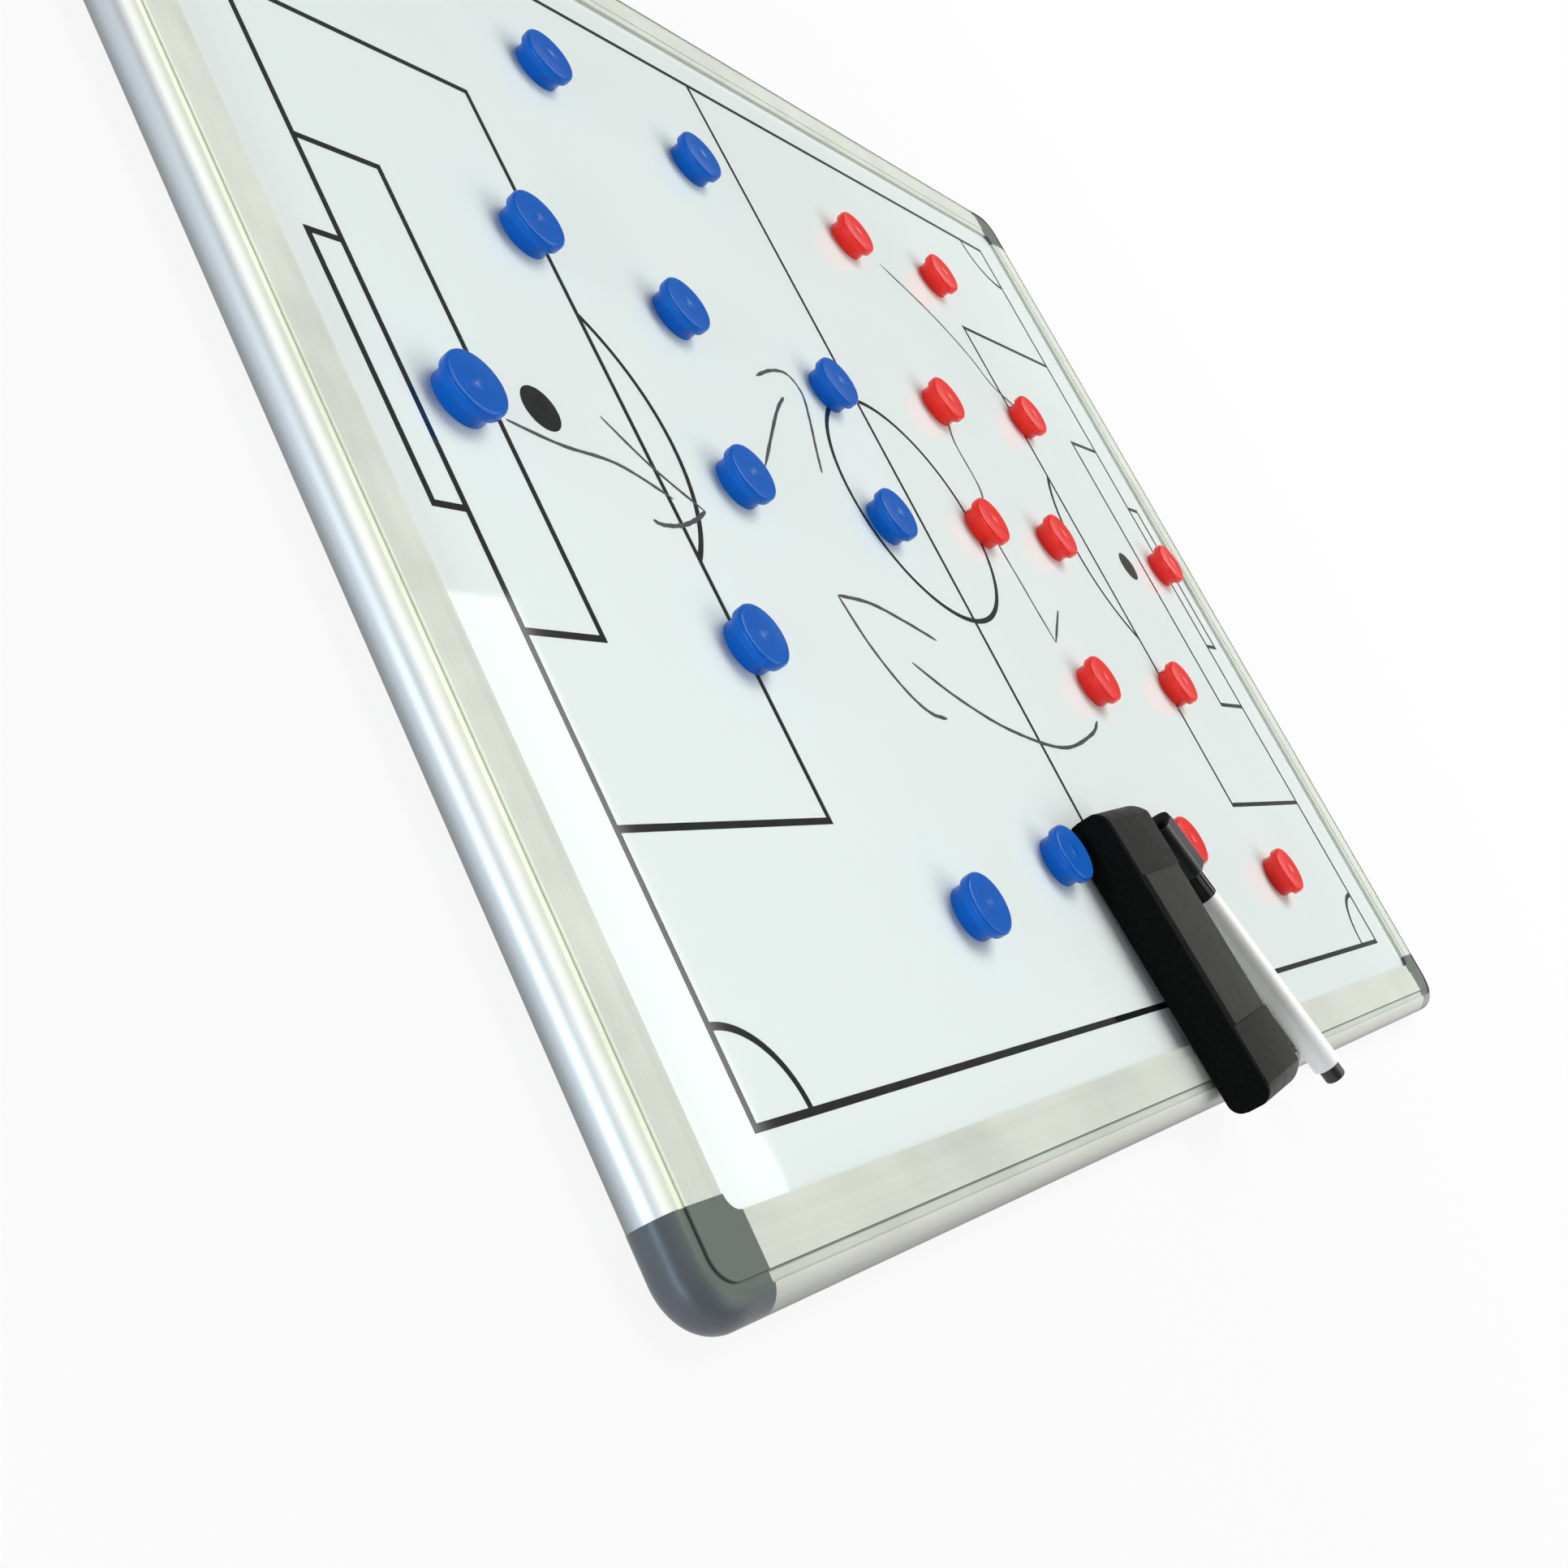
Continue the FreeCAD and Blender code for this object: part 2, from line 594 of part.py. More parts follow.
def pen_cap(lie):
    """Cap with its block, ribbed sleeve and bore, its felt pad and the magnet that holds it to the sheet."""
    cap = node(doc.addObject("PartDesign::Body", "pen_cap"), "pen_cap")
    top = f"{BLOCK_HEIGHT} / 2"
    pad(cap, block_plan(cap, "block", "0", lift="pad_thickness"), "block_length")
    ends = [number("pad_thickness"), number(BLOCK_END)]
    fillet(cap, "block_end_round", lambda edge: any(flat_at(edge, end) for end in ends))
    sleeve_end = f"{BARREL_START} - mouth_gap"
    sleeve_run = "sleeve_length - mouth_gap"
    pad(cap, circle(cap, "sleeve", "XY_Plane", "0", "0", SLEEVE_RADIUS, lift=BLOCK_END), sleeve_run)
    rib_plan = rectangle(f"{SLEEVE_RADIUS} - sleeve_wall / 2", "-rib_width / 2",
                         f"{SLEEVE_RADIUS} + rib_height", "rib_width / 2")
    rib = pad(cap, outline(cap, "rib", "XY_Plane", rib_plan, lift=BLOCK_END), sleeve_run)
    ribs = cap.newObject("PartDesign::PolarPattern", "ribs")
    ribs.Originals = [rib]
    ribs.Axis = (next(axis for axis in cap.Origin.OriginFeatures if axis.Role == "Z_Axis"), [""])
    ribs.setExpression("Occurrences", bound("rib_count"))
    cap.Tip = ribs
    bore = circle(cap, "cap_bore", "XY_Plane", "0", "0", "nose_diameter / 2 + nose_play", lift=sleeve_end)
    pocket(cap, bore, "nose_length + nib_reach + nib_room - mouth_gap")
    magnet_at = "pad_thickness + cap_magnet_inset"
    seat_radius = "cap_magnet_diameter / 2 + fit_play"
    seat = circle(cap, "magnet_seat", "XZ_Plane", "0", magnet_at, seat_radius, lift=top)
    pocket(cap, seat, "cap_magnet_thickness")
    cap.Placement = lie
    disc = cylinder("pen_cap_magnet", "cap_magnet_diameter / 2", "cap_magnet_thickness")
    magnet = node(disc, "pen_cap_magnet")
    seat_place = FreeCAD.Placement(V(0, -number(top), number(magnet_at)), turn(ACROSS, -QUARTER_TURN))
    magnet.Placement = lie * seat_place
    felt = node(doc.addObject("PartDesign::Body", "pen_cap_felt"), "pen_cap_felt")
    pad(felt, block_plan(felt, "felt_end", "pad_inset"), "pad_thickness")
    felt.Placement = lie


def flat_at(edge, height):
    """Whether an edge lies wholly at one height."""
    near = number("edge_land")
    return abs(edge.BoundBox.ZMin - height) < near and abs(edge.BoundBox.ZMax - height) < near


panel_layer("backing_sheet", "back_lip", "backing_thickness")
core = f"{SURFACE} - sheet_thickness - backing_thickness - back_lip"
panel_layer("core_panel", "back_lip + backing_thickness", core)
panel_layer("writing_sheet", f"{SURFACE} - sheet_thickness", "sheet_thickness")

# Each rail and each cap turns a quarter further round the board than the one before.
long_rail, short_rail = f"board_width - 2 * {CORNER_SIZE}", f"board_height - 2 * {CORNER_SIZE}"
right, top = "board_width / 2", "board_height / 2"
rails = [("bottom", long_rail, "0", f"-{top}"), ("right", short_rail, right, "0"),
         ("top", long_rail, "0", top), ("left", short_rail, f"-{right}", "0")]
for quarter, (side, length, x, y) in enumerate(rails):
    rail(f"rail_{side}", length, x, y, quarter * QUARTER_TURN)
caps = [("bottom_left", f"-{right}", f"-{top}"), ("bottom_right", right, f"-{top}"),
        ("top_right", right, top), ("top_left", f"-{right}", top)]
for quarter, (side, x, y) in enumerate(caps):
    corner_cap(f"corner_{side}", x, y, quarter * QUARTER_TURN)

masters = counter_masters()
counters("blue", BLUE_SHARES, masters)
counters("red", RED_SHARES, masters)
eraser()
pen(pen_lie())
pen_cap(pen_lie())

doc.recompute()
failed = [item.Name for item in doc.Objects if {"Invalid", "Error"} & set(item.State)]
failed += [item.Label for item in nodes if item.Shape.isNull() or not item.Shape.isValid()]
if failed:
    raise ValueError(f"not built: {failed}")
os.makedirs("parts", exist_ok=True)
for item in nodes:
    item.Shape.exportStep(f"parts/{item.Label}.step")
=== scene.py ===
"""Looks of the tactics board: its finishes, printed pitch, loose pieces, light and camera."""
import json
import math

import bpy
from mathutils import Matrix, Vector, noise

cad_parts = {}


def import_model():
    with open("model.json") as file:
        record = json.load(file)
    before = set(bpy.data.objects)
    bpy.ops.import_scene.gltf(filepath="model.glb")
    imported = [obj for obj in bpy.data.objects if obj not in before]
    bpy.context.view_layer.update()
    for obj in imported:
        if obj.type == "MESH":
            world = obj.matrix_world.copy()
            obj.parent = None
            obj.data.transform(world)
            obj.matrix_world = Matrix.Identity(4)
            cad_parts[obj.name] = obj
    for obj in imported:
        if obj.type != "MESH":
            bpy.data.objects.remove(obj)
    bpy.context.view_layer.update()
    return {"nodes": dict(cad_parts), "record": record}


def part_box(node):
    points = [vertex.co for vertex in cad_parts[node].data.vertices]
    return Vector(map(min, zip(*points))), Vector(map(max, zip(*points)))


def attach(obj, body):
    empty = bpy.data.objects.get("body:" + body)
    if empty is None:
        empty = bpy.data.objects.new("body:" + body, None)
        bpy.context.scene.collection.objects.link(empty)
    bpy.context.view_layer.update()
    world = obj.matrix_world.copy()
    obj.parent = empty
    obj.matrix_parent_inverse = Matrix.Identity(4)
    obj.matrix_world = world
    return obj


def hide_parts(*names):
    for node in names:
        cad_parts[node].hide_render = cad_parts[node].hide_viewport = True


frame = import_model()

NODES = frame["nodes"]
MM = 0.001

# Board, in metres
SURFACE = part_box("writing_sheet")[1].z
RAIL_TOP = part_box("rail_top")[1].z
RAIL_MIDDLE = RAIL_TOP / 2
BOARD_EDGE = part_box("corner_top_right")[1]
RAILS_ACROSS = ["rail_top", "rail_bottom"]
RAILS_UP = ["rail_left", "rail_right"]
BLUE = [f"blue_counter_{number:02d}" for number in range(1, 12)]
RED = [f"red_counter_{number:02d}" for number in range(1, 12)]


# Meshes

def add_mesh(name, points, faces, finishes, sharp=35, face_slots=None):
    """A smooth-shaded mesh object, creased where its faces meet at more than an angle."""
    mesh = bpy.data.meshes.new(name)
    mesh.from_pydata([Vector(point) for point in points], [], faces)
    for finish in finishes:
        mesh.materials.append(finish)
    mesh.polygons.foreach_set("use_smooth", [True] * len(faces))
    if face_slots:
        mesh.polygons.foreach_set("material_index", face_slots)
    mesh.update()
    mesh.set_sharp_from_angle(angle=math.radians(sharp))
    item = bpy.data.objects.new(name, mesh)
    bpy.context.scene.collection.objects.link(item)
    return item


def lathe(profile, segments):
    """Points and faces of a closed profile (radius, height) turned about the vertical axis."""
    points, rows = [], []
    for radius, height in profile:
        if radius == 0:
            rows.append([len(points)] * segments)
            points.append((0, 0, height))
            continue
        rows.append(list(range(len(points), len(points) + segments)))
        for step in range(segments):
            angle = 2 * math.pi * step / segments
            points.append((radius * math.cos(angle), radius * math.sin(angle), height))
    faces = []
    for lower, upper in zip(rows, rows[1:]):
        for step in range(segments):
            following = (step + 1) % segments
            corners = [lower[step], lower[following], upper[following], upper[step]]
            faces.append(list(dict.fromkeys(corners)))
    return points, faces


def loft(loops):
    """Points and faces of a closed skin over loops of equal count, with flat ends."""
    count = len(loops[0])
    points = [point for loop in loops for point in loop]
    faces = [list(range(count))[::-1]]
    for row in range(len(loops) - 1):
        for step in range(count):
            following = (step + 1) % count
            low, high = row * count, (row + 1) * count
            faces.append([low + step, low + following, high + following, high + step])
    faces.append([(len(loops) - 1) * count + step for step in range(count)])
    return points, faces


def arc(x, y, radius, first, last, steps):
    """Points along an arc between two angles in degrees."""
    points = []
    for step in range(steps + 1):
        angle = math.radians(first + (last - first) * step / steps)
        points.append((x + radius * math.cos(angle), y + radius * math.sin(angle)))
    return points


def circle(x, y, radius, count):
    return arc(x, y, radius, 0, 360 * (count - 1) / count, count - 1)


def round_box_loop(left, right, low, high, radii, steps):
    """A rectangle across (u, v) with its own radius at each corner, anticlockwise from low left."""
    corners = [
        (left, low, 1, 1, 180), (right, low, -1, 1, 270),
        (right, high, -1, -1, 0), (left, high, 1, -1, 90),
    ]
    loop = []
    for (u, v, inward_u, inward_v, start), radius in zip(corners, radii):
        loop += arc(u + inward_u * radius, v + inward_v * radius, radius, start, start + 90, steps)
    return loop


def easing(radius, turn):
    """Distances from an end that follow a quarter round, in turns of some degrees."""
    return [radius * (1 - math.cos(math.radians(angle))) for angle in range(0, 91, turn)]


def through(points, steps):
    """A smooth line through given points."""
    line = []
    ends = [points[0]] + points + [points[-1]]
    for before, start, finish, after in zip(ends, ends[1:], ends[2:], ends[3:]):
        for step in range(steps):
            share = step / steps
            line.append(tuple(
                0.5 * (2 * b + (c - a) * share + (2 * a - 5 * b + 4 * c - d) * share ** 2
                       + (3 * b - a - 3 * c + d) * share ** 3)
                for a, b, c, d in zip(before, start, finish, after)))
    return line + [points[-1]]


def ribbon(line, widths, low, high, closed=False):
    """Points and faces of a thin closed strip that follows a line on the sheet, in millimetres."""
    points, faces = [], []
    count = len(line)
    for place in range(count):
        before = line[(place - 1) % count] if closed or place else line[0]
        after = line[(place + 1) % count] if closed or place < count - 1 else line[-1]
        along = Vector((after[0] - before[0], after[1] - before[1])).normalized()
        side = Vector((-along.y, along.x)) * (widths[place] / 2)
        x, y = line[place]
        for sign, height in ((1, low), (-1, low), (-1, high), (1, high)):
            points.append(((x + sign * side.x) * MM, (y + sign * side.y) * MM, SURFACE + height * MM))
    for place in range(count if closed else count - 1):
        near, far = 4 * place, 4 * ((place + 1) % count)
        for edge in range(4):
            following = (edge + 1) % 4
            faces.append([near + edge, far + edge, far + following, near + following])
    if not closed:
        faces.append([0, 1, 2, 3])
        faces.append([4 * count - 1, 4 * count - 2, 4 * count - 3, 4 * count - 4])
    return points, faces


def joined(parts):
    """Points and faces of several meshes as one."""
    points, faces = [], []
    for part_points, part_faces in parts:
        start = len(points)
        points += part_points
        faces += [[start + corner for corner in face] for face in part_faces]
    return points, faces


# Shader nodes

def split(tree, source):
    """The X, Y and Z of a vector."""
    parts = tree.nodes.new("ShaderNodeSeparateXYZ")
    tree.links.new(source, parts.inputs[0])
    return parts.outputs


def calculate(tree, operation, *sources):
    """The result of a sum on one or two values."""
    node = tree.nodes.new("ShaderNodeMath")
    node.operation = operation
    for place, source in enumerate(sources):
        tree.links.new(source, node.inputs[place])
    return node.outputs[0]


def carry(tree, source, low, high, start=0, end=1, curve="LINEAR"):
    """Carry a value's way between two others over to the way from a start to an end."""
    node = tree.nodes.new("ShaderNodeMapRange")
    node.interpolation_type = curve
    node.inputs["From Min"].default_value = low
    node.inputs["From Max"].default_value = high
    node.inputs["To Min"].default_value = start
    node.inputs["To Max"].default_value = end
    tree.links.new(source, node.inputs["Value"])
    return node.outputs["Result"]


def ramp(tree, source, stops):
    """A colour for a value, from stops (position, colour) in ascending order."""
    node = tree.nodes.new("ShaderNodeValToRGB")
    elements = node.color_ramp.elements
    first, *between, last = stops
    for place, (position, colour) in enumerate((first, last)):
        elements[place].position = position
        elements[place].color = (*colour, 1)
    for position, colour in between:
        elements.new(position).color = (*colour, 1)
    tree.links.new(source, node.inputs["Fac"])
    return node.outputs["Color"]


def blend(tree, share, first, second, kind="MIX"):
    """Two colours mixed by a number or by a value from another node."""
    node = tree.nodes.new("ShaderNodeMix")
    node.data_type = "RGBA"
    node.blend_type = kind
    if isinstance(share, float):
        node.inputs["Factor"].default_value = share
    else:
        tree.links.new(share, node.inputs["Factor"])
    tree.links.new(first, node.inputs["A"])
    tree.links.new(second, node.inputs["B"])
    return node.outputs["Result"]


def grey(level):
    return (level, level, level)


def tint(colour, share):
    return tuple(channel * share for channel in colour)


# Finishes

# Where most of a noise lies, for a spread of values and for the stops of a ramp
NOISE_LOW = 0.25
NOISE_HIGH = 0.75
CLOUD_LOW = 0.3
CLOUD_HIGH = 0.7


class Finish:
    """A Principled material whose colour, roughness and bump come from procedural textures."""

    def __init__(self, name, **values):
        self.material = bpy.data.materials.new(name)
        self.material.use_nodes = True
        self.tree = self.material.node_tree
        self.shader = self.tree.nodes["Principled BSDF"]
        self.place = self.tree.nodes.new("ShaderNodeTexCoord").outputs["Object"]
        for socket, value in values.items():
            self.shader.inputs[socket.replace("_", " ")].default_value = value

    def texture(self, kind, scale, stretch=(1, 1, 1)):
        """A texture in the part's own coordinates, stretched along its axes."""
        spread = self.tree.nodes.new("ShaderNodeMapping")
        spread.inputs["Scale"].default_value = stretch
        self.tree.links.new(self.place, spread.inputs["Vector"])
        texture = self.tree.nodes.new(kind)
        texture.inputs["Scale"].default_value = scale
        self.tree.links.new(spread.outputs["Vector"], texture.inputs["Vector"])
        return texture

    def noise(self, scale, detail, stretch=(1, 1, 1), distortion=0):
        texture = self.texture("ShaderNodeTexNoise", scale, stretch)
        texture.inputs["Detail"].default_value = detail
        texture.inputs["Distortion"].default_value = distortion
        return texture.outputs["Fac"]

    def cells(self, scale):
        return self.texture("ShaderNodeTexVoronoi", scale).outputs["Distance"]

    def ramp(self, source, stops):
        return ramp(self.tree, source, stops)

    def clouds(self, source, first, second):
        """A colour between two that follows a noise."""
        return self.ramp(source, [(CLOUD_LOW, first), (CLOUD_HIGH, second)])

    def span(self, source, low, high):
        """A value between two that follows a noise."""
        return carry(self.tree, source, NOISE_LOW, NOISE_HIGH, low, high)

    def reach(self, source, low, high):
        """Where a value lies between two others, from 0 to 1."""
        return carry(self.tree, source, low, high)

    def mix(self, share, first, second):
        return blend(self.tree, share, first, second)

    def product(self, first, second):
        return blend(self.tree, 1.0, first, second, "MULTIPLY")

    def colour(self, source):
        self.tree.links.new(source, self.shader.inputs["Base Color"])

    def rough(self, source):
        self.tree.links.new(source, self.shader.inputs["Roughness"])

    def bump(self, *layers):
        """Stack bumps (height, strength, distance in millimetres)."""
        normal = None
        for height, strength, distance in layers:
            bump = self.tree.nodes.new("ShaderNodeBump")
            bump.inputs["Strength"].default_value = strength
            bump.inputs["Distance"].default_value = distance * MM
            self.tree.links.new(height, bump.inputs["Height"])
            if normal:
                self.tree.links.new(normal, bump.inputs["Normal"])
            normal = bump.outputs["Normal"]
        self.tree.links.new(normal, self.shader.inputs["Normal"])


def plain_finish(name, colour, vary, scale, rough, grain, gloss):
    """A moulded or coated surface: cloudy colour, uneven gloss and a fine grain."""
    finish = Finish(name, Specular_IOR_Level=gloss)
    finish.colour(finish.clouds(finish.noise(scale, 4), tint(colour, 1 - vary), tint(colour, 1 + vary)))
    finish.rough(finish.span(finish.noise(scale * 3, 5), *rough))
    grain_scale, grain_strength, grain_depth = grain
    finish.bump((finish.noise(grain_scale, 2), grain_strength, grain_depth))
    return finish.material


def enamel():
    """Glossy white, faintly smudged."""
    finish = Finish("white_enamel")
    clean, smudged = (0.80, 0.875, 0.855), (0.77, 0.845, 0.825)
    flat = (1, 1, 0.01)
    finish.colour(finish.ramp(finish.noise(7, 5, flat, 0.6), [(0.4, clean), (0.8, smudged)]))
    finish.rough(finish.span(finish.noise(22, 6, flat), 0.015, 0.04))
    finish.bump((finish.noise(500, 1), 0.03, 0.05))
    return finish.material


# Colours of a rail, by the way in from its outer edge as a share of a scale: the aluminium's own colour, with
# painted shade darkening its outer edge, a painted highlight along its round, painted shade in the corners of
# its groove, and flat. Below its middle it keeps the tone of its edge, darkened towards the back as painted
# shade.
RAIL_SCALE = 0.010
RAIL_BLEND = 0.0004
FLAT = (0.585, 0.61, 0.555)
PAINTED_TONES_ACROSS = [
    (0.0, (0.34, 0.34, 0.32)), (0.06, (0.48, 0.485, 0.455)), (0.2, (0.56, 0.57, 0.53)),
    (0.40, (0.62, 0.63, 0.58)), (0.485, (0.65, 0.665, 0.61)), (0.505, (0.47, 0.49, 0.45)),
    (0.56, (0.54, 0.58, 0.53)), (0.69, (0.54, 0.58, 0.53)), (0.73, (0.28, 0.30, 0.275)),
    (0.755, (0.28, 0.30, 0.275)), (0.775, FLAT),
]
PAINTED_TONES_UP = [
    (0.0, (0.48, 0.515, 0.55)), (0.02, (0.51, 0.545, 0.575)), (0.12, (0.74, 0.77, 0.78)),
    (0.25, (0.96, 0.97, 0.94)), (0.42, (0.68, 0.69, 0.62)), (0.50, (0.62, 0.64, 0.57)),
    (0.53, (0.75, 0.78, 0.66)), (0.77, (0.78, 0.81, 0.70)), (0.80, FLAT),
]
BACK_SHADE_SHARES = [(0.08, 0.22), (0.68, 0.7), (1.0, 1.0)]
# Roughness by height: of the round side, then of the flat face
RAIL_POLISH = [(0.80, grey(0.48)), (0.955, grey(0.8))]


def aluminium(name, stretch, axis, half, tones, edge):
    """Anodised and drawn along its length, with painted highlight and shade that follow its section."""
    finish = Finish(name, Metallic=0.75, Specular_Tint=(*grey(edge), 1))
    streak = finish.noise(1, 4, stretch)
    place = split(finish.tree, finish.place)
    outward = calculate(finish.tree, "ABSOLUTE", place[axis])
    # Painted highlight and shade across the section: lighter along the round, darker at the outer edge and in
    # the groove's corners.
    face = finish.ramp(finish.reach(outward, half, half - RAIL_SCALE), tones)
    back = [(position, tint(tones[0][1], share)) for position, share in BACK_SHADE_SHARES]
    # Painted shade: below the middle, the round side darkens towards the back.
    painted_back_shade = finish.ramp(finish.reach(place["Z"], 0, RAIL_MIDDLE), back)
    above = finish.reach(place["Z"], RAIL_MIDDLE - RAIL_BLEND, RAIL_MIDDLE + RAIL_BLEND)
    drawn = finish.clouds(streak, grey(0.96), grey(1))
    finish.colour(finish.product(finish.mix(above, painted_back_shade, face), drawn))
    polish = finish.ramp(finish.reach(place["Z"], 0, RAIL_TOP), RAIL_POLISH)
    finish.rough(finish.product(polish, finish.clouds(finish.noise(40, 4), grey(0.95), grey(1.08))))
    finish.bump((streak, 0.06, 0.02))
    return finish.material


# The corner caps' colours, the second a cooler tone on the rounded sides that is painted reflection of cool
# light, and the upward parts of a direction at which the second gives way to the first
CAP_TOP = (0.090, 0.110, 0.077)
CAP_SIDE_PAINTED_REFLECTION = (0.090, 0.094, 0.102)
SIDE_FACING = 0.84
TOP_FACING = 0.985


def cap_finish():
    """Moulded grey plastic, with painted cool reflection on its rounded sides unlike its flat top, and its
    reflections tinted cool.
    """
    # Painted reflection: a cool tint on all of the cap's reflections.
    finish = Finish("corner_plastic", Specular_IOR_Level=0.38, Specular_Tint=(0.6, 0.8, 1.0, 1))
    facing = split(finish.tree, finish.tree.nodes.new("ShaderNodeNewGeometry").outputs["Normal"])
    # Painted reflection: by the way they face, the sides take a cooler colour than the top.
    ground = finish.ramp(facing["Z"], [(SIDE_FACING, CAP_SIDE_PAINTED_REFLECTION), (TOP_FACING, CAP_TOP)])
    finish.colour(finish.product(ground, finish.clouds(finish.noise(60, 4), grey(0.94), grey(1.06))))
    finish.rough(finish.span(finish.noise(180, 5), 0.32, 0.40))
    finish.bump((finish.noise(2400, 2), 0.18, 0.05))
    return finish.material


def ink(name, dark, pale, rough, gloss):
    finish = Finish(name, Roughness=rough, Specular_IOR_Level=gloss)
    finish.colour(finish.ramp(finish.noise(260, 4), [(0.35, dark), (0.75, pale)]))
    finish.bump((finish.noise(2200, 2), 0.1, 0.01))
    return finish.material


def felt():
    """Black fibres with a few specks of paler lint."""
    finish = Finish("black_felt", Roughness=1.0, Specular_IOR_Level=0.1, Sheen_Weight=0.02,
                    Sheen_Roughness=0.5, Sheen_Tint=(*grey(0.25), 1))
    fibres = finish.noise(900, 6, distortion=1.2)
    body = finish.ramp(fibres, [(0.3, grey(0.0012)), (0.75, (0.005, 0.005, 0.0047))])
    specks = finish.ramp(finish.cells(260), [(0.03, grey(1)), (0.05, grey(0))])
    chosen = finish.ramp(finish.noise(60, 1), [(0.66, grey(0)), (0.68, grey(1))])
    lint = finish.clouds(fibres, (0.10, 0.10, 0.09), (0.22, 0.22, 0.20))
    finish.colour(finish.mix(finish.product(specks, chosen), body, lint))
    finish.bump((finish.noise(160, 3), 0.3, 0.4), (fibres, 0.8, 0.3))
    return finish.material


def board_core():
    finish = Finish("core_board", Roughness=0.9)
    fibres = finish.noise(300, 5, (1, 1, 6))
    finish.colour(finish.clouds(fibres, (0.24, 0.17, 0.10), (0.42, 0.31, 0.19)))
    finish.bump((finish.noise(900, 3, (1, 1, 5)), 0.4, 0.1))
    return finish.material


# Colour, how far it varies, scale of its clouds, range of roughness,
# grain (scale, strength, depth in millimetres) and gloss
PLAIN = {
    "backing_steel": ((0.30, 0.32, 0.33), 0.05, 12, (0.42, 0.55), (1500, 0.25, 0.05), 0.5),
    "blue_plastic": ((0.003, 0.098, 0.46), 0.05, 180, (0.16, 0.24), (900, 0.02, 0.02), 0.13),
    "red_plastic": ((0.80, 0.024, 0.018), 0.05, 180, (0.16, 0.24), (900, 0.02, 0.02), 0.2),
    "eraser_plastic": ((0.0055, 0.0055, 0.0050), 0.15, 70, (0.42, 0.54), (1900, 0.22, 0.06), 0.09),
    "eraser_grip": ((0.021, 0.021, 0.0185), 0.12, 70, (0.46, 0.58), (1500, 0.30, 0.07), 0.12),
    "ferrite": ((0.020, 0.020, 0.022), 0.35, 900, (0.55, 0.75), (1400, 0.3, 0.06), 0.5),
    "white_plastic": ((0.91, 0.915, 0.905), 0.004, 300, (0.26, 0.30), (900, 0.02, 0.02), 0.5),
    "black_plastic": ((0.012, 0.012, 0.0125), 0.15, 120, (0.34, 0.46), (2000, 0.16, 0.05), 0.5),
    "ink_fibre": ((0.010, 0.010, 0.013), 0.4, 700, (0.8, 0.95), (1500, 0.5, 0.15), 0.5),
}
FINISHES = {name: plain_finish(name, *values) for name, values in PLAIN.items()}
FINISHES.update({
    "white_enamel": enamel(),
    "core_board": board_core(),
    # The rails across and up are lit and shaded copies of one aluminium, each with its own painted highlight
    # and shade; the rails across have a grey tint that dims their edge reflection as painted shade.
    "rail_across": aluminium("rail_aluminium_across", (3, 1100, 1100), "Y", BOARD_EDGE.y, PAINTED_TONES_ACROSS, 0.6),
    "rail_up": aluminium("rail_aluminium_up", (1100, 3, 1100), "X", BOARD_EDGE.x, PAINTED_TONES_UP, 1.0),
    "corner_plastic": cap_finish(),
    "black_felt": felt(),
})
PRINT = ink("pitch_print", (0.009, 0.011, 0.010), (0.017, 0.020, 0.018), 0.05, 0.75)
MARKER = ink("marker_ink", (0.010, 0.011, 0.012), (0.040, 0.042, 0.045), 0.38, 0.3)


def dress(name, finish):
    """Give a CAD node one finish."""
    mesh = NODES[name].data
    mesh.materials.clear()
    mesh.materials.append(finish)


def stand_for(item, body, slot, *names):
    """Let a piece ride a body in place of any CAD nodes that are named; the material slot it is given is not
    used.
    """
    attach(item, body)
    if names:
        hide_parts(*names)


SLOTS = {part["node"]: part["material_slot"] for part in frame["record"]["subparts"]}
for name, slot in SLOTS.items():
    if name in RAILS_ACROSS:
        dress(name, FINISHES["rail_across"])
    elif name in RAILS_UP:
        dress(name, FINISHES["rail_up"])
    else:
        dress(name, FINISHES[slot])


# Pitch, printed on the sheet, in millimetres from its centre

LINE = 2.0
PRINT_BASE = -0.01
PRINT_TOP = 0.03
# Lines that cross lie this much above each other
LAYER = 0.001
PITCH_HALF_LENGTH = 257.4
PITCH_HALF_WIDTH = 190.6
PENALTY_DEPTH = 92.1
PENALTY_HALF = 120.6
GOAL_AREA_DEPTH = 29.4
GOAL_AREA_HALF = 70.5
GOAL_DEPTH = 11.3
GOAL_HALF = 38.1
CENTRE_CIRCLE = 46.1
CORNER_ARC = 23.1
# Where a corner's arc starts, in degrees, by its side and end of the pitch
CORNER_STARTS = {(-1, -1): 0, (1, -1): 90, (1, 1): 180, (-1, 1): 270}
SPOT_PLACE = 207.0
SPOT = 7.1
ARC_RADIUS = 58.4
CIRCLE_POINTS = 128
SPOT_POINTS = 64
ARC_STEPS = 48
CORNER_STEPS = 24


def strip(line, level=0, closed=False):
    """A printed line."""
    return ribbon(line, [LINE] * len(line), PRINT_BASE, PRINT_TOP + LAYER * level, closed)


def frame_line(left, low, right, high):
    """A square-cornered line round a rectangle, as four strips."""
    half = LINE / 2
    return [
        strip([(left - half, low), (right + half, low)]),
        strip([(left - half, high), (right + half, high)]),
        strip([(left, low + half), (left, high - half)], 1),
        strip([(right, low + half), (right, high - half)], 1),
    ]


def disc(x, y, radius):
    """A printed spot."""
    rim = circle(x, y, radius, SPOT_POINTS)
    points = []
    for height in (PRINT_BASE, PRINT_TOP):
        points += [(px * MM, py * MM, SURFACE + height * MM) for px, py in rim]
    count = len(rim)
    faces = [list(range(count))[::-1], list(range(count, 2 * count))]
    for step in range(count):
        following = (step + 1) % count
        faces.append([step, following, count + following, count + step])
    return points, faces


